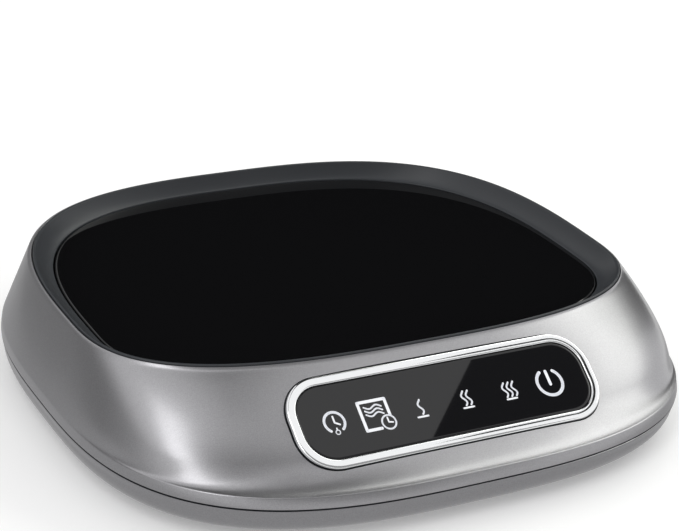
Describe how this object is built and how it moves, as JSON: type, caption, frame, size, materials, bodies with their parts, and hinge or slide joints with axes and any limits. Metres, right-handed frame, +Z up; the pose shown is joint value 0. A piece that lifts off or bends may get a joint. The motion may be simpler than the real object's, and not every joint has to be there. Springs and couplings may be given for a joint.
{
  "type": "electric mug warmer",
  "caption": "Low rounded-square mug warmer with a recessed dark glass heating plate and a sloped front that carries a long touch panel in a bright bezel.",
  "frame": {"origin": "on the ground, under the middle of the housing's outline", "axes": "+Z up, -Y towards the user and the touch panel, +X to the user's right"},
  "size_m": [0.15, 0.134, 0.0282],
  "materials": {
    "silver_paint": "satin metallic silver paint",
    "dark_plastic": "fine matt anthracite",
    "black_glass": "polished opaque black",
    "black_lens": "polished piano black",
    "chrome": "bright plated",
    "rubber": "matt moulded",
    "silicone": "soft matt",
    "steel": "zinc plated",
    "aluminium": "rolled sheet",
    "mica": "layered mineral sheet",
    "heater_foil": "etched resistance foil",
    "mineral_wool": "pressed fibre",
    "probe_resin": "epoxy coated",
    "brass": "bare",
    "diffuser": "white diffusing",
    "led": "clear resin",
    "board": "green solder mask",
    "chip": "moulded epoxy",
    "socket": "natural nylon",
    "terminal": "green nylon",
    "film": "yellow case",
    "sleeve": "dark blue sleeve",
    "ferrite": "dark ceramic",
    "fuse_glass": "clear tube with metal caps",
    "white_wire": "silicone sleeve",
    "red_wire": "silicone sleeve",
    "grey_ribbon": "flat grey"
  },
  "bodies": {
    "root": {"upper_shell": "silver_paint", "inner_tray": "dark_plastic", "base_pan": "silver_paint", "rubber_feet": "rubber", "housing_screws": "steel", "tray_screws": "steel", "cord_gland": "rubber", "glass_plate": "black_glass", "plate_gasket": "silicone", "heat_spreader": "aluminium", "upper_mica": "mica", "heater_track": "heater_foil", "lower_mica": "mica", "insulation_pad": "mineral_wool", "heater_pan": "aluminium", "pan_screws": "steel", "heater_terminals": "brass", "thermistor": "probe_resin", "thermal_fuse": "steel", "fuse_clip": "steel", "panel_bezel": "chrome", "touch_lens": "black_lens", "light_guide": "diffuser", "touch_springs": "brass", "icon_leds": "led", "control_board": "board", "touch_controller": "chip", "control_connector": "socket", "control_screws": "steel", "power_board": "board", "power_screws": "steel", "film_capacitor": "film", "smoothing_capacitor": "sleeve", "drum_inductor": "ferrite", "bridge_rectifier": "chip", "triac": "chip", "power_chip": "chip", "line_fuse": "fuse_glass", "fuse_holders": "steel", "mains_terminal": "terminal", "heater_socket": "socket", "sensor_socket": "socket", "ribbon_socket": "socket", "heater_leads": "white_wire", "sensor_leads": "red_wire", "ribbon_cable": "grey_ribbon"}
  },
  "joints": []
}
